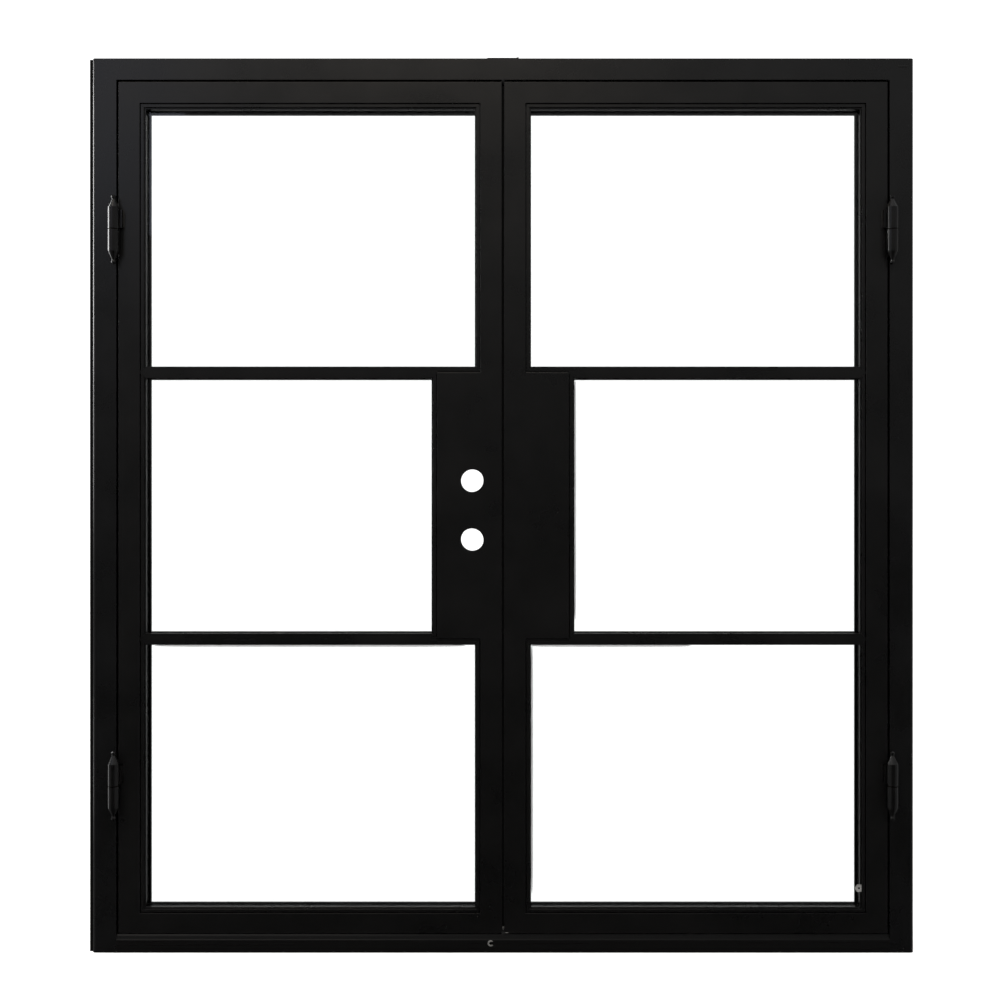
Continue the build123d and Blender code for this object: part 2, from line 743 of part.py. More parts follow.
# Bolts: round rods with a thumb piece that shows in the meeting edge
for level, tip, down in (("top", leaf_top - bolt_tip_drop, -1), ("bottom", leaf_bottom + bolt_tip_drop, 1)):
    with BuildPart() as bolt:
        with BuildSketch(Plane(origin=(bolt_x, leaf_middle, tip), x_dir=(1, 0, 0), z_dir=(0, -1, 0))):
            with BuildLine():
                Polyline(
                    (0, 0),
                    (bolt_radius - bolt_edge, 0),
                    (bolt_radius, down * bolt_edge),
                    (bolt_radius, down * bolt_length),
                    (0, down * bolt_length),
                    close=True,
                )
            make_face()
        revolve(axis=Axis((bolt_x, leaf_middle, tip), (0, 0, 1)))
        with Locations((bolt_x, leaf_middle, tip + down * (bolt_length - thumb_height / 2))):
            Box(
                bolt_x - meeting_edge - thumb_recess,
                thumb_width,
                thumb_height,
                align=(Align.MAX, Align.CENTER, Align.CENTER),
            )
    keep(bolt, f"{level}_bolt")

# Clip: a small pressed plate with a blunt point, on the bead of the right leaf's lowest pane
with BuildPart() as clip:
    clip_x = hinge_edge - stile_face - bead_band - clip_slack - clip_size / 2
    clip_y = front + bead_recess + bead_step
    clip_plane = Plane(origin=(clip_x, clip_y, clip_height), x_dir=(1, 0, 0), z_dir=(0, -1, 0))
    with BuildSketch(clip_plane) as clip_outline:
        with BuildLine():
            Polyline(
                (-clip_size / 2, 0),
                (-clip_shoulder, clip_size / 2),
                (clip_size / 2, clip_size / 2),
                (clip_size / 2, -clip_size / 2),
                (-clip_shoulder, -clip_size / 2),
                close=True,
            )
        make_face()
        fillet(clip_outline.vertices(), clip_corner)
        with Locations((clip_hole_shift, 0)):
            Circle(clip_hole_radius, mode=Mode.SUBTRACT)
    extrude(amount=clip_thickness)
keep(clip, "glazing_clip")
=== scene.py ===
# %% [markdown]
# # A pair of glazed steel doors
#
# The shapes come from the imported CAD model: a black steel frame with a sill, two leaves of three panes each, turned
# barrel hinges and a lock panel beside the meeting line. This lesson gives those shapes their finishes, adds the small
# things that are easier to make as surfaces, and lights the doors as the photograph does.

# %% Load the doors
import json
import math

import bpy
import numpy as np
from mathutils import Matrix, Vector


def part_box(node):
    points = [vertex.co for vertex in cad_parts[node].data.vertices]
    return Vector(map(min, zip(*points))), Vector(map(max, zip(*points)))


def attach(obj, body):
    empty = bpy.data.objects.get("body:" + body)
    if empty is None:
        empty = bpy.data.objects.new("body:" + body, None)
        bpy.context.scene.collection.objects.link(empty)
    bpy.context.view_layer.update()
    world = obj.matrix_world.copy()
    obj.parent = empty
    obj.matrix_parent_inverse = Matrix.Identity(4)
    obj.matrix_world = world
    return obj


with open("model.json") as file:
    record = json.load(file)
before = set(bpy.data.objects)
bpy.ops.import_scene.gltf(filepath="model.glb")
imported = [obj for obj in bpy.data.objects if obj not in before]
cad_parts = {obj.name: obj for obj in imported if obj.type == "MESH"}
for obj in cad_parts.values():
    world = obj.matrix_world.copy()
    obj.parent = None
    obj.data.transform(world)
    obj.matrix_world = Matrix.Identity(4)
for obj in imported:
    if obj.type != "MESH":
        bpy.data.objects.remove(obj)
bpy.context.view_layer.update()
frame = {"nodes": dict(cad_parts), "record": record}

# %% [markdown]
# ## Colours and nodes
#
# Paint charts and screens give colours as sRGB hex values, but a shader works in linear light, so one function turns
# one into the other. A second one adds a shader node: its kind, its settings by socket or property name, and its
# links. With those two, each finish below reads as a short list of what the surface is made of.

# %% Colour and node helpers
MIX_SHARE, MIX_FIRST, MIX_SECOND, MIX_RESULT = 0, 6, 7, 2  # sockets of a Mix node that mixes colours


def paint(hex_value):
    """Linear RGBA from an sRGB hex value: each channel is c/12.92 near black, and ((c+0.055)/1.055)^2.4 above."""
    c = np.array([int(hex_value[i : i + 2], 16) for i in (1, 3, 5)]) / 255
    linear = np.where(c <= 0.04045, c / 12.92, ((c + 0.055) / 1.055) ** 2.4)
    return (*linear.tolist(), 1.0)


def add(tree, kind, settings=(), links=()):
    """One node of a kind. A setting is a property of the node or a value for the input socket of that name or number;
    a link runs from an output socket to the named input."""
    node = tree.nodes.new(kind)
    for key, value in dict(settings).items():
        if isinstance(key, str) and hasattr(node, key):
            setattr(node, key, value)
        else:
            node.inputs[key].default_value = value
    for key, source in dict(links).items():
        tree.links.new(source, node.inputs[key])
    return node


def finish_named(name):
    """An empty node tree for one finish, with the object's own coordinates in metres."""
    material = bpy.data.materials.new(name)
    material.use_nodes = True
    tree = material.node_tree
    tree.nodes.clear()
    coordinates = add(tree, "ShaderNodeTexCoord").outputs["Object"]
    return material, tree, coordinates


def per_mm(size):
    """The scale of a noise whose blots are this many millimetres across, on coordinates in metres."""
    return 1000 / size


def close(tree, shader):
    """Ends a finish in the material's surface."""
    add(tree, "ShaderNodeOutputMaterial", links={"Surface": shader.outputs[0]})


print("sRGB #808080 is", [round(v, 3) for v in paint("#808080")])

# %% [markdown]
# ## Black powder coat
#
# The steel is coated with a satin black powder that is baked on. It melts into a skin with a faint orange peel, so its
# highlights are soft and slightly uneven, and the colour is a warm black. Two noises do it: a fine one for the peel,
# drawn coarser than the real millimetre so that it shows, and a broad one for the slow waves of rolled steel and for
# the patches where the coat is a little thinner or dustier. One function serves the frame, the leaves, the beads and
# the hinges, because they differ only in shade, in shine, and in the size and strength of the peel and the waves.

# %% Powder coats
peel_depth, wave_depth = 0.0006, 0.004  # metres that a bump of full strength stands for


def powder_coat(name, dark, light, roughness, peel_mm, peel, wave_mm=140.0, wave=0.06):
    """Satin powder coat: colour and roughness drift over broad patches, and a fine peel and slow waves bend the
    light. The peel and the waves each have a size in millimetres and a strength."""
    material, tree, at = finish_named(name)
    broad = {"Scale": per_mm(wave_mm), "Detail": 4.0, "Roughness": 0.55}
    patches = add(tree, "ShaderNodeTexNoise", broad, {"Vector": at})
    colour = add(tree, "ShaderNodeValToRGB", links={"Fac": patches.outputs["Fac"]})
    low_stop, high_stop = colour.color_ramp.elements
    low_stop.position, low_stop.color = 0.3, paint(dark)
    high_stop.position, high_stop.color = 0.75, paint(light)
    gloss = add(
        tree,
        "ShaderNodeMapRange",
        {"From Min": 0.3, "From Max": 0.7, "To Min": roughness - 0.03, "To Max": roughness + 0.04},
        {"Value": patches.outputs["Fac"]},
    )
    grain = add(tree, "ShaderNodeTexNoise", {"Scale": per_mm(peel_mm), "Detail": 2.0}, {"Vector": at})
    waves = add(
        tree, "ShaderNodeBump", {"Strength": wave, "Distance": wave_depth}, {"Height": patches.outputs["Fac"]}
    )
    skin = add(
        tree,
        "ShaderNodeBump",
        {"Strength": peel, "Distance": peel_depth},
        {"Height": grain.outputs["Fac"], "Normal": waves.outputs["Normal"]},
    )
    coat = add(
        tree,
        "ShaderNodeBsdfPrincipled",
        {"IOR": 1.5},
        {
            "Base Color": colour.outputs["Color"],
            "Roughness": gloss.outputs["Result"],
            "Normal": skin.outputs["Normal"],
        },
    )
    close(tree, coat)
    return material


finishes = {
    # rolled tube, with the weakest peel of the coats: even and softly shining
    "frame_coat": powder_coat("satin_black_powder_coat_frame", "#070707", "#0b0b0c", 0.27, 3.0, 0.04, wave=0.015),
    # the leaves were coated apart from the frame: a shade duller, with a livelier skin
    "leaf_coat": powder_coat("satin_black_powder_coat_leaf", "#070707", "#0c0b0b", 0.29, 3.0, 0.10),
    "bead_coat": powder_coat("satin_black_powder_coat_bead", "#070707", "#0c0b0b", 0.28, 2.5, 0.10),
    # paint over turned steel: it stays smooth, so the hinges carry the sharpest highlights
    "hinge_coat": powder_coat("satin_black_paint_on_turned_steel", "#060606", "#0b0a0a", 0.2, 1.6, 0.05, 40.0),
}
print("powder coats:", sorted(finishes))

# %% [markdown]
# ## Worn sill
#
# The sill has the same coat, but feet and dirty water have dulled it in streaks along its length. The streaks are one
# noise, squeezed along X so that each runs for a good part of the door, and they take the shine off the coat in
# places. Along two lines a grey is painted in as highlight: a painted reflection on the tread near the left leaf, and
# a painted highlight along the front edge. Such a line is worked out from the height above the floor, which keeps it
# straight without an image.

# %% Worn sill coat
squeeze_along_x = 0.012
# the grey of the painted highlights along the sill
highlight_grey = "#3c3a38"


def worn_coat(name, dark, light, roughness, painted_highlights):
    """Powder coat worn in long streaks along X: one noise moves the colour from dark to light, and the roughness from
    0.15 above its mean to 0.15 below.

    Each line of painted highlight has the height of its middle and its half width, the X where it starts to show and
    where it is full, all in millimetres, and a strength. Its share of painted grey falls off as a straight ramp from
    its middle.
    """
    material, tree, at = finish_named(name)
    along = add(tree, "ShaderNodeMapping", {"Scale": (squeeze_along_x, 1.0, 1.0)}, {"Vector": at})
    long_blots = {"Scale": per_mm(7), "Detail": 4.0, "Roughness": 0.6}
    streaks = add(tree, "ShaderNodeTexNoise", long_blots, {"Vector": along.outputs[0]})
    colour = add(
        tree,
        "ShaderNodeMix",
        {"data_type": "RGBA", MIX_FIRST: paint(dark), MIX_SECOND: paint(light)},
        {MIX_SHARE: streaks.outputs["Fac"]},
    )
    place = add(tree, "ShaderNodeSeparateXYZ", links={0: at})
    for line in painted_highlights:
        off = add(
            tree, "ShaderNodeMath", {"operation": "SUBTRACT", 1: line["middle"] / 1000}, {0: place.outputs["Z"]}
        )
        away = add(tree, "ShaderNodeMath", {"operation": "ABSOLUTE"}, {0: off.outputs[0]})
        band = add(
            tree,
            "ShaderNodeMapRange",
            {"From Min": line["half"] / 1000, "From Max": 0.0, "To Min": 0.0, "To Max": line["strength"]},
            {"Value": away.outputs[0]},
        )
        fade = add(
            tree,
            "ShaderNodeMapRange",
            {"From Min": line["start"] / 1000, "From Max": line["full"] / 1000},
            {"Value": place.outputs["X"]},
        )
        share = add(tree, "ShaderNodeMath", {"operation": "MULTIPLY"}, {0: band.outputs[0], 1: fade.outputs[0]})
        uneven = add(
            tree, "ShaderNodeMath", {"operation": "MULTIPLY"}, {0: share.outputs[0], 1: streaks.outputs["Fac"]}
        )
        colour = add(
            tree,
            "ShaderNodeMix",
            {"data_type": "RGBA", MIX_SECOND: paint(highlight_grey)},
            {MIX_SHARE: uneven.outputs[0], MIX_FIRST: colour.outputs[MIX_RESULT]},
        )
    shine = add(
        tree,
        "ShaderNodeMapRange",
        {"From Min": 0.35, "From Max": 0.65, "To Min": roughness + 0.15, "To Max": roughness - 0.15},
        {"Value": streaks.outputs["Fac"]},
    )
    grain = add(tree, "ShaderNodeTexNoise", {"Scale": per_mm(3.0), "Detail": 2.0}, {"Vector": at})
    skin = add(tree, "ShaderNodeBump", {"Strength": 0.12, "Distance": peel_depth}, {"Height": grain.outputs["Fac"]})
    coat = add(
        tree,
        "ShaderNodeBsdfPrincipled",
        {"IOR": 1.5, "Specular IOR Level": 0.24},
        {
            "Base Color": colour.outputs[MIX_RESULT],
            "Roughness": shine.outputs["Result"],
            "Normal": skin.outputs["Normal"],
        },
    )
    close(tree, coat)
    return material


# painted highlights: a reflection on the tread near the left leaf, and a highlight along the sill's front edge
sill_highlight_lines = [
    {"middle": 40.5, "half": 3.0, "start": 50.0, "full": -700.0, "strength": 0.9},
    {"middle": 30.5, "half": 1.6, "start": 1500.0, "full": -1000.0, "strength": 0.6},
]
finishes["sill_coat"] = worn_coat("worn_black_powder_coat_sill", "#060606", "#0c0b0b", 0.36, sill_highlight_lines)
print("sill coat:", finishes["sill_coat"].name, "with", len(sill_highlight_lines), "rubbed lines")

# %% [markdown]
# ## Glass
#
# The panes are clear float glass, two sheets to a unit. A mix of a transparent and a mirroring shader could stand in
# for it, but these sheets are real solids with two faces each, so one glass shader bends and mirrors the light as the
# sheets do. A faint uneven film of dust keeps it from looking like an empty opening.

# %% Clear glass


def float_glass(name, clear, dusty):
    """Clear float glass: smooth and fully transmitting, with a thin uneven film of dust in its colour."""
    material, tree, at = finish_named(name)
    film = add(tree, "ShaderNodeTexNoise", {"Scale": per_mm(220), "Detail": 3.0}, {"Vector": at})
    colour = add(
        tree,
        "ShaderNodeMix",
        {"data_type": "RGBA", MIX_FIRST: paint(clear), MIX_SECOND: paint(dusty)},
        {MIX_SHARE: film.outputs["Fac"]},
    )
    glass = add(
        tree,
        "ShaderNodeBsdfPrincipled",
        {"IOR": 1.5, "Roughness": 0.0, "Transmission Weight": 1.0},
        {"Base Color": colour.outputs[MIX_RESULT]},
    )
    close(tree, glass)
    return material


finishes["clear_glass"] = float_glass("clear_float_glass", "#ffffff", "#fafcfb")
print("glass:", finishes["clear_glass"].name)

# %% [markdown]
# ## Rubber and spacer bars
#
# Seals, bedding tape, setting blocks and the bars between the sheets are all dull and nearly black. They swallow the
# light where the coated steel mirrors it, which is why every joint reads as a dark line. One grain noise gives the
# dust in the colour and a slight bump, and the low specular level keeps the gloss away.

# %% Dull blacks


def dull_black(name, dark, dusty, roughness, grain_mm):
    """Rubber or a coated bar: near black, with a pale dust in its grain and hardly any gloss."""
    material, tree, at = finish_named(name)
    fine = {"Scale": per_mm(grain_mm), "Detail": 5.0, "Roughness": 0.6}
    grain = add(tree, "ShaderNodeTexNoise", fine, {"Vector": at})
    colour = add(tree, "ShaderNodeValToRGB", links={"Fac": grain.outputs["Fac"]})
    low_stop, high_stop = colour.color_ramp.elements
    low_stop.position, low_stop.color = 0.4, paint(dark)
    high_stop.position, high_stop.color = 0.85, paint(dusty)
    bump = add(tree, "ShaderNodeBump", {"Strength": 0.2, "Distance": 0.0005}, {"Height": grain.outputs["Fac"]})
    rubber = add(
        tree,
        "ShaderNodeBsdfPrincipled",
        {"Roughness": roughness, "IOR": 1.45, "Specular IOR Level": 0.15},
        {"Base Color": colour.outputs["Color"], "Normal": bump.outputs["Normal"]},
    )
    close(tree, rubber)
    return material


# moulded seal rubber, the darkest: it draws the black lines round the leaves
finishes["seal_rubber"] = dull_black("black_seal_rubber", "#040404", "#090909", 0.8, 6.0)
# foamed tape: greyer, with a fine open grain
finishes["glazing_tape"] = dull_black("black_closed_cell_tape", "#0a0a0a", "#151515", 0.85, 3.0)
# pressed block rubber, a dusty dark grey
finishes["setting_block_rubber"] = dull_black("dark_block_rubber", "#121212", "#201f1e", 0.8, 5.0)
# coated spacer bar: a little smoother than the rubbers
finishes["spacer_black"] = dull_black("black_spacer_bar", "#090909", "#141414", 0.6, 9.0)
print("dull blacks ready:", len(finishes), "finishes so far")

# %% [markdown]
# ## Bare metals
#
# The pins, bolts and bushes inside the doors are bare steel, bronze and brass on which a cutter or a die has left fine
# marks, and the small clip is plated sheet that has gone chalky. The marks are a noise squeezed along Z, so that they
# run round a turned pin, and they give both the bump and the changing shine. Modelled grooves would be far too fine.

# %% Turned and drawn metals


def turned_metal(name, colour_hex, dull_hex, roughness, mark_mm, bare=1.0):
    """Bare metal with fine marks across Z from the cutter or the die, and small stains. A share of it may be bare of
    the chalky bloom that old plating grows."""
    material, tree, at = finish_named(name)
    stretched = add(tree, "ShaderNodeMapping", {"Scale": (0.15, 0.15, 1.0)}, {"Vector": at})
    fine = {"Scale": per_mm(mark_mm), "Detail": 3.0}
    marks = add(tree, "ShaderNodeTexNoise", fine, {"Vector": stretched.outputs[0]})
    stains = add(tree, "ShaderNodeTexNoise", {"Scale": per_mm(12), "Detail": 4.0}, {"Vector": at})
    colour = add(
        tree,
        "ShaderNodeMix",
        {"data_type": "RGBA", MIX_FIRST: paint(colour_hex), MIX_SECOND: paint(dull_hex)},
        {MIX_SHARE: stains.outputs["Fac"]},
    )
    gloss = add(
        tree,
        "ShaderNodeMapRange",
        {"To Min": roughness - 0.08, "To Max": roughness + 0.12},
        {"Value": marks.outputs["Fac"]},
    )
    bump = add(tree, "ShaderNodeBump", {"Strength": 0.15, "Distance": 0.0003}, {"Height": marks.outputs["Fac"]})
    metal = add(
        tree,
        "ShaderNodeBsdfPrincipled",
        {"Metallic": bare},
        {
            "Base Color": colour.outputs[MIX_RESULT],
            "Roughness": gloss.outputs["Result"],
            "Normal": bump.outputs["Normal"],
        },
    )
    close(tree, metal)
    return material


# ground steel: bright, with the finest marks
finishes["pin_steel"] = turned_metal("ground_pin_steel", "#b9b9b7", "#8d8c89", 0.3, 0.8)
# drawn steel: greyer and a little duller
finishes["bolt_steel"] = turned_metal("drawn_bolt_steel", "#a9a8a5", "#7f7d79", 0.35, 1.0)
# bronze soaked in old oil: nearly as dark as the hinge, so the washer shows as a fine dark line
finishes["washer_bronze"] = turned_metal("oil_blackened_bronze", "#2a211a", "#15110e", 0.45, 0.8)
# turned brass: yellow, half dulled
finishes["keeper_brass"] = turned_metal("plain_brass", "#c3a15a", "#8e7136", 0.35, 0.8)
# zinc plate gone chalky: a flat grey that is only half metal to the eye
finishes["clip_zinc"] = turned_metal("dull_zinc_plated_sheet", "#a6a5a2", "#5c5b59", 0.5, 2.0, 0.45)
print("metals ready:", len(finishes), "finishes in all")

# %% [markdown]
# ## Dressing
#
# Every CAD piece names a material slot in the part's record, and the finishes above have the same names. So one loop
# dresses them all, and a new piece in the CAD model would get its finish without a change here.

# %% Dress the CAD pieces
slot_of = {part["node"]: part["material_slot"] for part in frame["record"]["subparts"]}
for name, piece in frame["nodes"].items():
    piece.data.materials.clear()
    piece.data.materials.append(finishes[slot_of[name]])
print("dressed", len(slot_of), "pieces")

# %% [markdown]
# ## Beads of weld and sealant
#
# A weld run and a line of sealant have the same form: a bead of D-shaped section that follows a line on a flat face
# and tapers to nothing at both ends. A bevelled curve could make it, but here the bead is one surface with two
# parameters, the way along the line and the angle round the section, because its height has to change on the way. A
# weld is rippled by the pulse of the welder's hand; sealant is smoother and only swells slowly.

# %% A closed tube from rings


def tube_faces(rows, columns):
    """Faces of a tube: quads between its rings, and triangles from the last ring at each end to a pole.

    The points are the rings one after another, then the first pole and the last one.
    """
    row, column = np.meshgrid(np.arange(rows - 1), np.arange(columns), indexing="ij")
    here, beyond = row * columns, (row + 1) * columns
    after = (column + 1) % columns
    corners = [here + column, here + after, beyond + after, beyond + column]
    ring = np.arange(columns)
    following = (ring + 1) % columns
    first_pole, last_pole = np.full(columns, rows * columns), np.full(columns, rows * columns + 1)
    last_row = (rows - 1) * columns
    return (
        np.stack(corners, axis=-1).reshape(-1, 4).tolist()
        + np.stack([first_pole, following, ring], axis=-1).tolist()
        + np.stack([last_pole, last_row + ring, last_row + following], axis=-1).tolist()
    )


def put_in(name, rings, poles, finish, body, slot=None):
    """A closed tube from rings and two poles in millimetres, facing outwards, that rides on one body of the doors.

    The sum of a . (b x c) over its triangles is six times its volume; if that is negative, the faces are turned.
    """
    rows, columns, _ = rings.shape
    mesh = bpy.data.meshes.new(name)
    points = np.concatenate([rings.reshape(-1, 3), poles]) / 1000
    mesh.from_pydata(points.tolist(), [], tube_faces(rows, columns))
    mesh.calc_loop_triangles()
    corners = np.empty(3 * len(mesh.loop_triangles), dtype=np.int32)
    mesh.loop_triangles.foreach_get("vertices", corners)
    a, b, c = points[corners.reshape(-1, 3)].transpose(1, 0, 2)
    if np.sum(a * np.cross(b, c)) < 0:
        mesh.flip_normals()
    mesh.polygons.foreach_set("use_smooth", np.ones(len(mesh.polygons), dtype=bool))
    mesh.materials.append(finish)
    piece = bpy.data.objects.new(name, mesh)
    bpy.context.scene.collection.objects.link(piece)
    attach(piece, body)


print("a tube of 3 rings of 4 points has", len(tube_faces(3, 4)), "faces")

# %% A bead along a line
rounded_ends, square_ends = 8, 2000
RIGHT, LEFT, BACK, FRONT, UP, DOWN = (1, 0, 0), (-1, 0, 0), (0, 1, 0), (0, -1, 0), (0, 0, 1), (0, 0, -1)


def d_bead(start, end, across, out, width, height, ripple=0.0, pitch=3.0, rows=160, fullness=rounded_ends):
    """Rings and poles, in millimetres, of a bead from start to end on a face.

    At the share t of the way, the section is the upper half of an ellipse, width wide and height high, closed by a
    flat underside that lies 0.05 mm above the face. Both sizes are multiplied by the end taper
    (1 - (2t - 1)^n)^(1/2), where n is the even number fullness, and the height also by 1 + ripple times a sine of the
    given pitch.
    """
    start, end, across, out = (np.array(v, dtype=float) for v in (start, end, across, out))
    columns, lift = 20, 0.05
    t = np.linspace(0.0, 1.0, rows + 2)[1:-1, None]
    angle = np.linspace(0.0, 2 * np.pi, columns, endpoint=False)[None, :]
    way = np.linalg.norm(end - start)
    taper = np.sqrt(1 - (2 * t - 1) ** fullness)
    pulse = 1 + ripple * np.sin(2 * np.pi * t * way / pitch)
    aside = width / 2 * taper * np.cos(angle)
    upwards = height * taper * pulse * np.clip(np.sin(angle), 0, None) + lift
    rings = (start + (end - start) * t)[:, None, :] + aside[..., None] * across + upwards[..., None] * out
    return rings, np.stack([start, end]) + lift * out


print("a bead has", *d_bead((0, 0, 0), (0, 0, 50), RIGHT, FRONT, 3.0, 1.0)[0].shape[:2], "rings and points to a ring")

# %% [markdown]
# ## Welds
#
# Each half of a hinge is welded to its jamb or leaf along its foot. The run is a little shorter than the barrel's
# straight part, and the coat went over it, so only its ripple shows. At the upper right corner of the frame a weld was
# ground nearly flush and can still be seen as a short low swelling. A bump in the coat could hint at them, but a bead
# also shows from the side, and the hinge's own box says where it goes.

# %% Welds at the hinges
front_y = -75.0  # the front of frame and leaves
weld_gap = 0.8  # from the hinge's foot to the middle of the run
weld_near, weld_far = 5, 46  # where a run starts and ends, from the end of the barrel


def in_mm(box):
    """The low and the high corner of a box, from metres to millimetres."""
    return [np.array(corner) * 1000 for corner in box]


hinge_boxes = {
    name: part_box(name) for name in frame["nodes"] if name.startswith("hinge_") and name.endswith("_half")
}
for name, box in hinge_boxes.items():
    on_leaf = name.endswith("leaf_half")
    side = "left" if "left" in name else "right"
    low, high = in_mm(box)
    on_low_side = (side == "right") == on_leaf
    foot_x = low[0] - weld_gap if on_low_side else high[0] + weld_gap
    if on_leaf:
        body, near, far = f"{side}_leaf", low[2] + weld_near, low[2] + weld_far
    else:
        body, near, far = "frame", high[2] - weld_far, high[2] - weld_near
    run = d_bead((foot_x, front_y, near), (foot_x, front_y, far), RIGHT, FRONT, 3.6, 0.6, ripple=0.25)
    put_in(f"weld_{name}", *run, finishes["leaf_coat"], body, "leaf_coat")
print("welds on", len(hinge_boxes), "hinge halves")

# %% Ground weld at the corner of the head
corner_z = 2081
run = d_bead(
    (927.0, front_y, corner_z), (951.0, front_y, corner_z), UP, FRONT, 4.0, 0.35, ripple=0.2, pitch=5.0, rows=60
)
put_in("corner_weld", *run, finishes["frame_coat"], "frame", "frame_coat")
print("corner weld laid at", corner_z, "mm")

# %% [markdown]
# ## Pale sealant
#
# Pale sealant shows beside some of the beads: along the left edges of the right leaf's middle and lowest pane, and
# along the tops of both lowest panes. It is a thin translucent line on the face of the front sheet, so a little light
# passes through it and a cloudy noise keeps it from looking printed. It is the same bead, long and low.

# %% Sealant


def sealant(name, pale, grey):
    """Cured sealant: pale, a little cloudy and half shiny."""
    material, tree, at = finish_named(name)
    cloud = add(tree, "ShaderNodeTexNoise", {"Scale": per_mm(60), "Detail": 3.0}, {"Vector": at})
    colour = add(
        tree,
        "ShaderNodeMix",
        {"data_type": "RGBA", MIX_FIRST: paint(pale), MIX_SECOND: paint(grey)},
        {MIX_SHARE: cloud.outputs["Fac"]},
    )
    gum = add(
        tree,
        "ShaderNodeBsdfPrincipled",
        {"Roughness": 0.45, "Transmission Weight": 0.35},
        {"Base Color": colour.outputs[MIX_RESULT]},
    )
    close(tree, gum)
    return material


pale_sealant = sealant("pale_sealant", "#e2e2e3", "#b9b8ba")
print("sealant:", pale_sealant.name)

# %% Sealant lines
glass_y = -58.0  # the face of the front sheet
bead_width, bar_bead_width = 13.0, 11.0  # of the beads beside the tubes, and of those on the cross bars
edge_step, edge_start, top_step = 2.4, 40, 3.4  # from the bead to the line, from the pane's foot, from the bar
lower = in_mm(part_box("right_lower_bead"))
middle = in_mm(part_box("right_middle_bead"))
left_lower = in_mm(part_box("left_lower_bead"))
for name, (low, high) in {"sealant_right_lower_edge": lower, "sealant_right_middle_edge": middle}.items():
    x = low[0] + bead_width + edge_step
    foot, top = (x, glass_y, low[2] + edge_start), (x, glass_y, high[2] - bead_width)
    put_in(name, *d_bead(foot, top, RIGHT, FRONT, 5.0, 1.2, ripple=0.15, pitch=170.0), pale_sealant, "right_leaf")
tops = {  # the leaf, where the line starts and where it ends along X, and the top of the beads round the pane
    "sealant_left_lower_top": ("left_leaf", left_lower[0][0] + 30, left_lower[1][0] - 35, left_lower[1][2]),
    "sealant_right_lower_top": ("right_leaf", lower[0][0] + bead_width, lower[0][0] + 390, lower[1][2]),
}
for name, (body, low_x, high_x, top_z) in tops.items():
    z = top_z - bar_bead_width - top_step
    line = d_bead((low_x, glass_y, z), (high_x, glass_y, z), UP, FRONT, 6.0, 1.2, ripple=0.15, pitch=190.0)
    put_in(name, *line, pale_sealant, body)
print("sealant lines: 2 beside the beads and", len(tops), "under the bars")

# %% [markdown]
# ## Dark gaskets: painted shade along the bars
#
# A strip of dull rubber lines each middle pane above the lower cross bar and below the upper one, as a gasket. Its
# dullness is painted shade: it draws a dark line along the bar where the coated bead would mirror the sky, and stands
# in for the shade under the upper bar and above the lower one. The same bead makes it, but full to its ends.

# %% Dark gaskets of the middle panes, painted shade
rubber = finishes["seal_rubber"]
foot_rise = 0.6  # half the lower gasket's width, so that it stands on the bead
for side in ("left", "right"):
    low, high = in_mm(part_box(f"{side}_middle_bead"))
    start, end = low[0] + bead_width, high[0] - bead_width
    foot = low[2] + bar_bead_width + foot_rise
    # dull strips laid as painted shade: above the lower bar and under the upper one
    gasket = d_bead((start, glass_y, foot), (end, glass_y, foot), UP, FRONT, 1.2, 1.0, fullness=square_ends)
    put_in(f"{side}_shade_gasket_foot", *gasket, rubber, f"{side}_leaf", "seal_rubber")
    under = (low[1] + high[1]) / 2
    top = high[2] - bar_bead_width
    gasket = d_bead((start, under, top), (end, under, top), BACK, DOWN, 12.4, 0.5, fullness=square_ends)
    put_in(f"{side}_shade_gasket_head", *gasket, rubber, f"{side}_leaf", "seal_rubber")
print("gaskets: 4")

# %% [markdown]
# ## Joints of the lock panels, with painted shade
#
# Each lock panel ends on the cross bars and stands a little proud of them. A thin black strip lies on the bar beside
# the panel and outlines it above and below: painted shade for the shadow in the gap between bead and panel. Along the
# panel's top edge runs a bead of filler under the coat: its lower half is inside the panel, so only the upper half
# shows, and it catches the light as the edge of the real panel does.
# Lines in the material could mark the joints, but only a raised form catches the light.

# %% Panel joints as painted shade, and fillers
end_room = 0.5
joint_rise, joint_drop = 3.6, 2.9  # from the panel's top and foot to the middle of the joint
for side, sign in (("left", -1), ("right", 1)):
    low, high = in_mm(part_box(f"{side}_lock_box"))
    web_y = 1000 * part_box(f"{side}_upper_cross_bar")[0][1]
    stile_x = min(1000 * abs(corner[0]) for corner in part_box(f"{side}_upper_bead"))
    panel_x = min(1000 * abs(corner[0]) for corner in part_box(f"{side}_middle_bead"))
    start, end = sign * (stile_x + end_room), sign * (panel_x - end_room)
    for place, z in (("top", high[2] + joint_rise), ("foot", low[2] - joint_drop)):
        # a dull black strip on the bar: painted shade in the gap beside the panel
        joint = d_bead((start, web_y, z), (end, web_y, z), UP, FRONT, 5.4, 0.2, fullness=square_ends)
        put_in(f"{side}_panel_shade_line_{place}", *joint, rubber, f"{side}_leaf", "seal_rubber")
    edge = high[2]
    filler = d_bead((start, web_y, edge), (end, web_y, edge), UP, FRONT, 4.4, 0.5, fullness=square_ends)
    put_in(f"{side}_panel_filler", *filler, finishes["leaf_coat"], f"{side}_leaf", "leaf_coat")
print("panel joints: 4, fillers: 2")

# %% [markdown]
# ## Lip of the meeting seal
#
# The rubber fin in the gap between the leaves ends in a soft lip, which rests on the edge of the other leaf and keeps
# the daylight out. The CAD fin stops a hair short of that edge so that the leaves can move, and the lip closes the
# rest. It is a bead again, lying on the fin's edge.

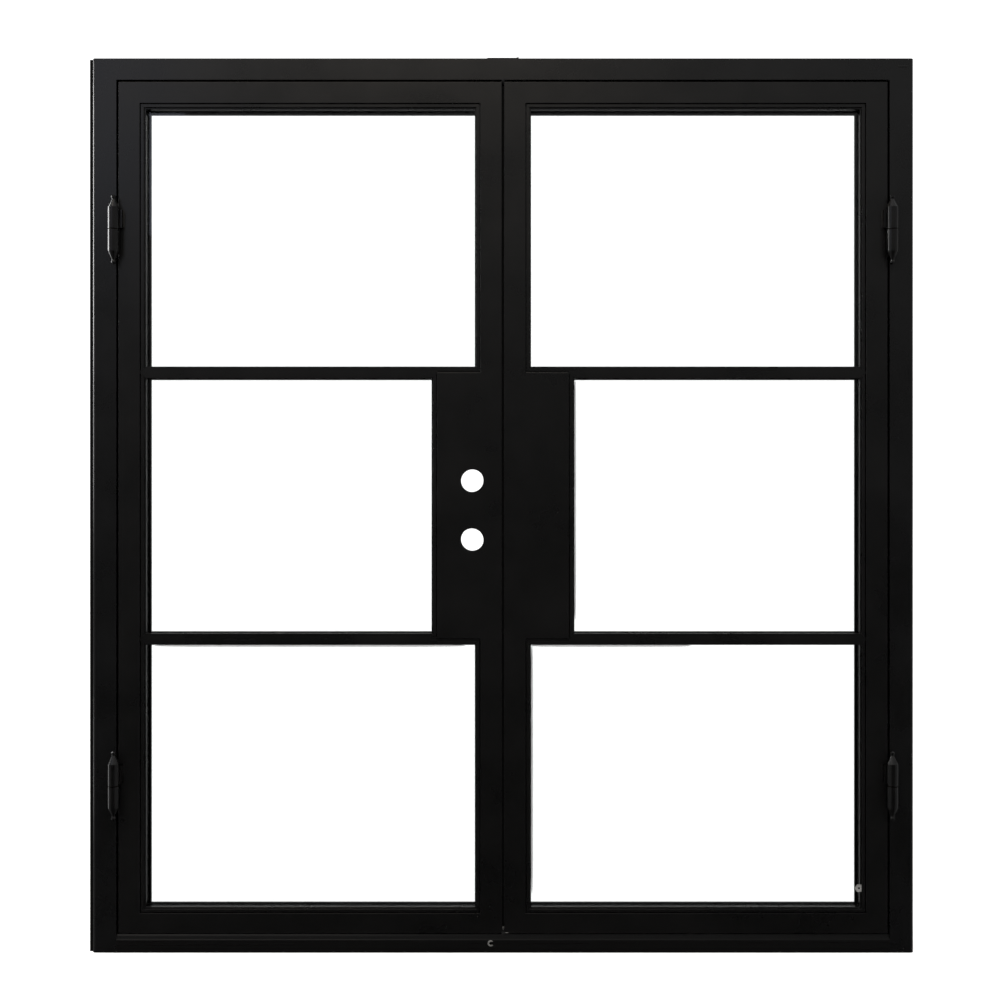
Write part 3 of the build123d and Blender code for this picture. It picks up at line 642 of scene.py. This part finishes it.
# %% Lip of the meeting seal
seal_low, seal_high = in_mm(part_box("meeting_seal"))
lip_x, lip_y = seal_low[0] + 0.5, (seal_low[1] + seal_high[1]) / 2
lip = d_bead(
    (lip_x, lip_y, seal_low[2]), (lip_x, lip_y, seal_high[2]), BACK, LEFT, 5.0, 0.6, fullness=square_ends
)
put_in("meeting_seal_lip", *lip, rubber, "right_leaf", "seal_rubber")
print("seal lip from", seal_low[2], "to", seal_high[2], "mm")

# %% [markdown]
# ## Bare steel and a painted glint
#
# Small places at the foot show bright metal. The drain hole in the front of the sill has a rim of bare steel, open on
# one side: an arc of a flattened ring. At the lower corner of the right leaf the coat has chipped off, and a short
# bright mark on the seal beside it is a painted glint in bare steel, the highlight of the leaves' rounded edges. Paint
# in the material could show them too, but a shape of their own keeps their edges sharp. A chip is a patch in polar
# form, and the glint is a very short bead.

# %% Drain rim
# steel rubbed bare, also used for the painted glint: a broken grey shine, three quarters metal
bare_metal_and_glint = turned_metal("bare_metal_and_painted_glint", "#b4b3b0", "#6e6d6a", 0.4, 2.0, 0.75)


def open_ring(centre, radius, half_width, height, gap_degrees, rows=120, columns=16):
    """Rings and poles of an arc of a flattened ring, in millimetres, open towards +X.

    Round the angle a, the section is an ellipse of half_width along the radius and height towards -Y, and both shrink
    to nothing at the ends as (1 - s^6)^(1/2), where s runs from -1 to 1 along the arc.
    """

    def place(s, outwards, forwards):
        """Points at s along the arc, moved outwards from its middle line and forwards from its face."""
        around = np.pi - s * np.radians(180 - gap_degrees / 2)
        distance = radius + outwards
        x = centre[0] + distance * np.cos(around)
        z = centre[2] + distance * np.sin(around)
        return np.stack([x, centre[1] - forwards + 0 * x, z], axis=-1)

    s = np.linspace(-1.0, 1.0, rows + 2)[1:-1, None]
    angle = np.linspace(0.0, 2 * np.pi, columns, endpoint=False)[None, :]
    taper = np.sqrt(1 - s**6)
    ends = np.array([-1.0, 1.0])
    return place(s, half_width * taper * np.cos(angle), height * taper * np.sin(angle)), place(ends, 0.0, 0.0)


rim = open_ring((-28.6, front_y, 22.0), radius=5.5, half_width=2.0, height=0.7, gap_degrees=75)
put_in("drain_rim", *rim, bare_metal_and_glint, "frame")
print("drain rim open to the right")

# %% Chip and painted glint
chip_depth = 0.04


def chip(centre, half_x, half_z, wobble, rows=16, columns=40):
    """Rings and poles of a chip in a front face, in millimetres: a thin lens with an uneven outline.

    From pole to pole, u runs from 0 to pi: the lens spans x = sin u half_x w cos a and z = sin u half_z w sin a about
    its centre, with the outline w = 1 + wobble (sin 3a + sin 5a / 2), and its surface stands chip_depth (1 + cos u)
    off the steel.
    """
    u = np.linspace(0.0, np.pi, rows + 2)[1:-1, None]
    a = np.linspace(0.0, 2 * np.pi, columns, endpoint=False)[None, :]
    spread = np.sin(u) * (1 + wobble * (np.sin(3 * a) + np.sin(5 * a) / 2))
    off = chip_depth + chip_depth * np.cos(u) + 0 * a
    rings = np.stack([half_x * spread * np.cos(a), -off, half_z * spread * np.sin(a)], axis=-1) + np.array(centre)
    return rings, np.array([[0.0, -2 * chip_depth, 0.0], [0.0, 0.0, 0.0]]) + np.array(centre)


put_in("chip_foot", *chip((9.2, front_y, 47.2), 4.6, 0.9, wobble=0.1), bare_metal_and_glint, "right_leaf")
# the glint on the seal is a painted highlight: bare steel standing for the shine of the leaves' rounded edges
glint_x, glint_y = 0.75, seal_low[1]
glint = d_bead((glint_x, glint_y, 51.5), (glint_x, glint_y, 60.0), RIGHT, FRONT, 4.2, 0.5, rows=40)
put_in("seal_painted_glint", *glint, bare_metal_and_glint, "right_leaf")
print("one chip and one fleck at the meeting corner")

# %% [markdown]
# ## Floor
#
# The doors stand on a pale floor that fades into the white behind them. It glows a little, which takes the shadow
# under the sill away, as in the photograph. Mirrored and refracted rays pass through it: otherwise the sides of the
# beads would show it through the glass as bright strips.

# %% Floor
floor_mesh = bpy.data.meshes.new("floor")
span = 40.0
floor_corners = [(-span, -span, 0), (span, -span, 0), (span, span, 0), (-span, span, 0)]
floor_mesh.from_pydata(floor_corners, [], [(0, 1, 2, 3)])
floor = bpy.data.objects.new("floor", floor_mesh)
bpy.context.scene.collection.objects.link(floor)
floor_finish, tree, at = finish_named("pale_studio_floor")
mottle = add(tree, "ShaderNodeTexNoise", {"Scale": per_mm(900)}, {"Vector": at})
shade = add(
    tree,
    "ShaderNodeMix",
    {"data_type": "RGBA", MIX_FIRST: paint("#f7f7f6"), MIX_SECOND: paint("#fbfbfa")},
    {MIX_SHARE: mottle.outputs["Fac"]},
)
glow = {"Roughness": 0.9, "Emission Color": (1.0, 1.0, 1.0, 1.0), "Emission Strength": 0.3}
close(tree, add(tree, "ShaderNodeBsdfPrincipled", glow, {"Base Color": shade.outputs[MIX_RESULT]}))
floor_mesh.materials.append(floor_finish)
floor.visible_glossy = False
floor.visible_transmission = False
print("floor laid,", 2 * span, "m wide")

# %% [markdown]
# ## World
#
# Black paint shows only what it mirrors. The doors stand in front of plain white, but the world that the paint sees is
# a soft vertical ramp, bright overhead and dark towards the ground: it gives the coat its lighter top and its black
# foot. At the sides it never falls below a dim grey, and behind the doors it is a brighter grey, which the sides of
# the beads mirror as light lines. The ray's count of glossy bounces tells the two worlds apart.

# %% Mirrored world
world = bpy.data.worlds.new("studio")
bpy.context.scene.world = world
world.use_nodes = True
world.cycles.sampling_method = "NONE"
tree = world.node_tree
tree.nodes.clear()
direction = add(tree, "ShaderNodeSeparateXYZ", links={0: add(tree, "ShaderNodeTexCoord").outputs["Generated"]})
before = add(
    tree,
    "ShaderNodeMapRange",
    {"interpolation_type": "SMOOTHSTEP", "From Min": -0.15, "From Max": 0.8, "To Min": 0.0, "To Max": 0.45},
    {"Value": direction.outputs["Z"]},
)
behind = add(
    tree,
    "ShaderNodeMapRange",
    {"From Min": -0.3, "From Max": 0.4, "To Min": 0.28, "To Max": 0.5},
    {"Value": direction.outputs["Z"]},
)
backwards = add(
    tree, "ShaderNodeMapRange", {"From Min": 0.2, "From Max": 0.5}, {"Value": direction.outputs["Y"]}
)
sideways = add(tree, "ShaderNodeMath", {"operation": "ABSOLUTE"}, {0: direction.outputs["X"]})
beside = add(
    tree, "ShaderNodeMapRange", {"From Min": 0.4, "From Max": 0.75, "To Max": 0.18}, {"Value": sideways.outputs[0]}
)
around = add(
    tree, "ShaderNodeMath", {"operation": "MAXIMUM"}, {0: before.outputs["Result"], 1: beside.outputs["Result"]}
)
room = add(
    tree,
    "ShaderNodeMix",
    links={0: backwards.outputs["Result"], 2: around.outputs[0], 3: behind.outputs["Result"]},
)
print("mirrored world:", len(tree.nodes), "nodes")

# %% White world behind the doors
white = (1, 1, 1, 1)
path = add(tree, "ShaderNodeLightPath")
mirrored = add(tree, "ShaderNodeBackground", {"Color": white}, {"Strength": room.outputs[0]})
plain = add(tree, "ShaderNodeBackground", {"Color": white, "Strength": 1.3})
bounced = add(tree, "ShaderNodeMath", {"operation": "GREATER_THAN", 1: 0.5}, {0: path.outputs["Glossy Depth"]})
chosen = add(
    tree, "ShaderNodeMixShader", links={0: bounced.outputs[0], 1: plain.outputs[0], 2: mirrored.outputs[0]}
)
add(tree, "ShaderNodeOutputWorld", links={"Surface": chosen.outputs[0]})
print("world set")

# %% [markdown]
# ## Lights
#
# A broad warm light overhead lifts the head and the top rails, and a weak cool one on the left tints the jamb. The
# thin bright line down the rounded edge of the left jamb, and the shine on the left hinges, come from soft boxes that
# stand beside the doors, out of reach of the open leaf. The upper ones are strong and those below weak, so the line
# fades half way down.

# %% Soft boxes


def soft_box(name, place, target, size, watts, colour="#ffffff"):
    """A rectangular soft light at a place, turned to a target and hidden from the camera.

    Its Z axis points away from the target, its X axis is level, and its Y axis is at right angles to both.
    """
    light = bpy.data.lights.new(name, "AREA")
    light.shape = "RECTANGLE"
    light.size, light.size_y = size
    light.energy = watts
    light.color = paint(colour)[:3]
    lamp = bpy.data.objects.new(name, light)
    lamp.location = place
    aim = np.array(target) - np.array(place)
    across = np.array([aim[1], -aim[0], 0.0]) / np.hypot(aim[0], aim[1])
    up = np.cross(across, aim / np.linalg.norm(aim))
    turned = np.column_stack([across, up, -aim / np.linalg.norm(aim)])
    lamp.rotation_euler = Matrix(turned.tolist()).to_euler()
    lamp.visible_camera = False
    bpy.context.scene.collection.objects.link(lamp)


soft_box("overhead", (-0.8, -2.6, 4.6), (0.0, 0.0, 1.6), (3.2, 1.6), 40, "#fff1df")
soft_box("left_window", (-2.2, -2.8, 3.0), (-0.95, 0.0, 1.9), (1.3, 1.2), 2.4, "#dfe6ff")
soft_box("left_edge", (-2.6, 0.2, 2.12), (-0.9, 0.0, 2.12), (1.0, 1.13), 33)
soft_box("left_edge_mid", (-2.6, 0.2, 1.3), (-0.9, 0.0, 1.3), (1.0, 0.5), 5.5)
soft_box("left_edge_high", (-2.6, 0.13, 3.1), (-0.9, 0.0, 3.1), (0.5, 0.5), 8)
soft_box("left_edge_low", (-2.05, 0.05, 0.21), (-0.9, 0.0, 0.21), (0.3, 0.36), 0.8)
print("lights:", len(bpy.data.lights))

# %% [markdown]
# ## Camera
#
# The photograph looks straight at the doors from the height of their middle. The camera stands close enough for the
# inner sides of the beads to show as they do there, and the lens follows from that distance and from the width that
# the picture covers at the front of the doors. The Standard view keeps white white and black black.

# %% Camera
distance = 2.6
width_seen = 2.348
sensor_mm = 36.0
lens = bpy.data.cameras.new("camera")
lens.sensor_width = sensor_mm
lens.lens = sensor_mm * distance / width_seen
camera = bpy.data.objects.new("camera", lens)
camera.location = (-0.007, -0.075 - distance, 1.063)
camera.rotation_euler = (math.pi / 2, 0, 0)
bpy.context.scene.collection.objects.link(camera)
bpy.context.scene.camera = camera
bpy.context.scene.view_settings.view_transform = "Standard"
print("camera", round(lens.lens, 2), "mm")
